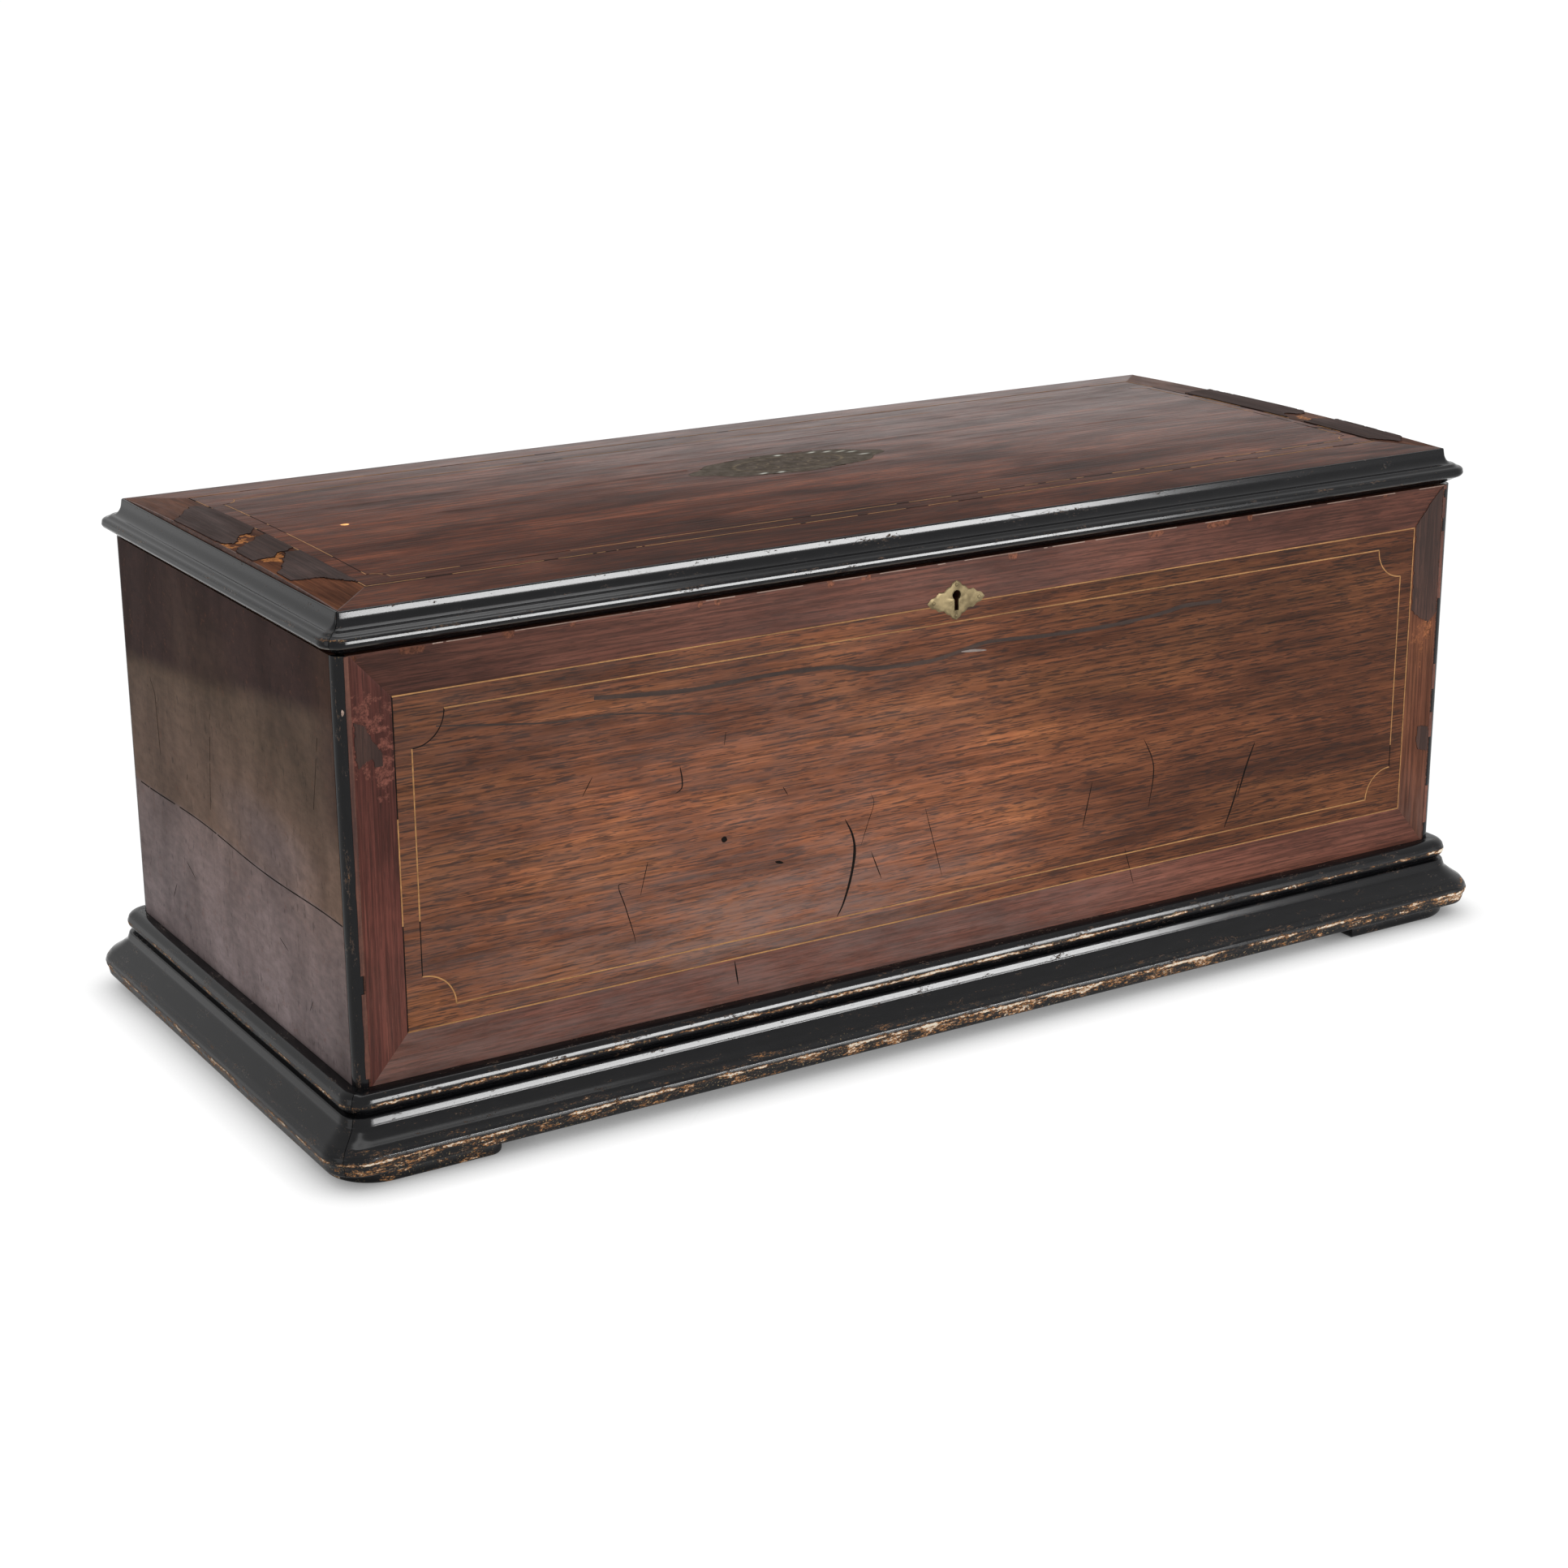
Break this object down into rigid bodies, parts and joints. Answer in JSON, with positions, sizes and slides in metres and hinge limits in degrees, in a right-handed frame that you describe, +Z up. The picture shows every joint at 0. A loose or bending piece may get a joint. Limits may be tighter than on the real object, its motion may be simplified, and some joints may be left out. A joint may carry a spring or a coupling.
{
  "type": "music box",
  "caption": "Cylinder music box: long veneered wooden case with dark mouldings and a hinged lid over a lever-wound comb and cylinder movement.",
  "frame": {"origin": "on the floor under the middle of the case, at the bottom centre of its bounding box", "axes": "+X along the case to the right as seen from the front, +Y from front to back, +Z up"},
  "size_m": [0.744, 0.344, 0.286],
  "materials": {
    "rosewood": "polished, worn",
    "ebonised": "black polish, worn at the edges",
    "pine": "bare",
    "brass": "dulled",
    "steel": "bright",
    "blued_steel": "blued",
    "iron": "painted",
    "glass": "clear",
    "paper": "card"
  },
  "bodies": {
    "case": {"front_panel": "rosewood", "back_panel": "rosewood", "left_end_panel": "rosewood", "right_end_panel": "rosewood", "corner_strip_front_left": "ebonised", "corner_strip_front_right": "ebonised", "corner_strip_back_left": "ebonised", "corner_strip_back_right": "ebonised", "bottom_board": "pine", "base_moulding_front": "ebonised", "base_moulding_back": "ebonised", "base_moulding_left": "ebonised", "base_moulding_right": "ebonised", "foot_front_left": "ebonised", "foot_front_right": "ebonised", "foot_back_left": "ebonised", "foot_back_right": "ebonised", "lever_partition": "pine", "control_partition": "pine", "escutcheon": "brass", "lock_body": "brass", "hinge_case_leaf_left": "brass", "hinge_case_leaf_right": "brass", "bedplate": "iron", "comb_base": "brass", "comb": "steel", "cylinder_bearing_left": "brass", "cylinder_bearing_right": "brass", "barrel_bridge": "brass", "governor_cock": "brass"},
    "lid": {"lid_panel": "rosewood", "lid_moulding_front": "ebonised", "lid_moulding_back": "ebonised", "lid_moulding_left": "ebonised", "lid_moulding_right": "ebonised", "lid_cartouche": "brass", "tune_sheet": "paper", "lock_keeper": "brass", "hinge_lid_leaf_left": "brass", "hinge_lid_leaf_right": "brass", "hinge_pin_left": "steel", "hinge_pin_right": "steel"},
    "glass_lid": {"glass_lid_frame": "rosewood", "glass_pane": "glass"},
    "lock_bolt": {"lock_bolt": "steel"},
    "cylinder_arbor": {"cylinder_arbor": "steel", "cylinder_wheel": "brass"},
    "cylinder": {"cylinder": "brass"},
    "barrel": {"spring_barrel": "brass", "great_wheel": "brass", "mainspring": "blued_steel"},
    "winding_arbor": {"winding_arbor": "steel", "ratchet_wheel": "steel"},
    "winding_lever": {"winding_lever": "steel"},
    "drive_pawl": {"drive_pawl": "steel"},
    "click": {"click": "steel"},
    "governor": {"governor_wheel": "brass"},
    "fly": {"fly_worm": "steel"},
    "start_lever": {"start_lever": "brass"},
    "change_lever": {"change_lever": "brass"}
  },
  "joints": [
    {"name": "lid_hinge", "type": "hinge", "parent": "case", "child": "lid", "pos_m": [0, 0.154, 0.26325], "axis": [-1, 0, 0], "range_deg": [0, 95]},
    {"name": "glass_lid_hinge", "type": "hinge", "parent": "case", "child": "glass_lid", "pos_m": [0, 0.126, 0.238], "axis": [-1, 0, 0], "range_deg": [0, 82]},
    {"name": "bolt_slide", "type": "slide", "parent": "case", "child": "lock_bolt", "axis": [0, 0, 1], "range_m": [0, 0.006]},
    {"name": "cylinder_spin", "type": "hinge", "parent": "case", "child": "cylinder_arbor", "pos_m": [0, -0.02, 0.1198], "axis": [-1, 0, 0], "continuous": true},
    {"name": "cylinder_shift", "type": "slide", "parent": "cylinder_arbor", "child": "cylinder", "axis": [1, 0, 0], "range_m": [0, 0.003], "stiffness_N_per_m": 300, "springref_m": -0.003},
    {"name": "barrel_spin", "type": "hinge", "parent": "case", "child": "barrel", "pos_m": [0, 0.032, 0.1198], "axis": [-1, 0, 0], "continuous": true},
    {"name": "governor_spin", "type": "hinge", "parent": "case", "child": "governor", "pos_m": [0.1903, 0.018, 0.1198], "axis": [-1, 0, 0], "continuous": true},
    {"name": "fly_spin", "type": "hinge", "parent": "case", "child": "fly", "pos_m": [0.1903, 0.0394, 0.1198], "axis": [0, 0, 1], "continuous": true},
    {"name": "lever_stroke", "type": "hinge", "parent": "case", "child": "winding_lever", "pos_m": [-0.289, 0.032, 0.1198], "axis": [1, 0, 0], "range_deg": [0, 75]},
    {"name": "winding_arbor_turn", "type": "hinge", "parent": "case", "child": "winding_arbor", "pos_m": [-0.289, 0.032, 0.1198], "axis": [1, 0, 0], "range_deg": [0, 75]},
    {"name": "drive_pawl_lift", "type": "hinge", "parent": "winding_lever", "child": "drive_pawl", "pos_m": [-0.2805, 0.0455, 0.14318], "axis": [-1, 0, 0], "range_deg": [0, 12], "stiffness_Nm_per_rad": 0.01, "springref_deg": -11.46},
    {"name": "click_lift", "type": "hinge", "parent": "case", "child": "click", "pos_m": [-0.2495, 0.032, 0.1468], "axis": [-1, 0, 0], "range_deg": [0, 12], "stiffness_Nm_per_rad": 0.01, "springref_deg": -11.46},
    {"name": "start_lever_tilt", "type": "hinge", "parent": "case", "child": "start_lever", "pos_m": [0.278, -0.08, 0.15], "axis": [1, 0, 0], "range_deg": [0, 16]},
    {"name": "change_lever_tilt", "type": "hinge", "parent": "case", "child": "change_lever", "pos_m": [0.278, 0.02, 0.15], "axis": [1, 0, 0], "range_deg": [0, 16]}
  ],
  "couplings": [
    {"joint": "glass_lid_hinge", "follows": "lid_hinge", "ratio": 0.85},
    {"joint": "barrel_spin", "follows": "cylinder_spin", "ratio": -0.3},
    {"joint": "governor_spin", "follows": "cylinder_spin", "ratio": -3.75},
    {"joint": "fly_spin", "follows": "cylinder_spin", "ratio": -135},
    {"joint": "winding_arbor_turn", "follows": "lever_stroke", "ratio": 1}
  ]
}
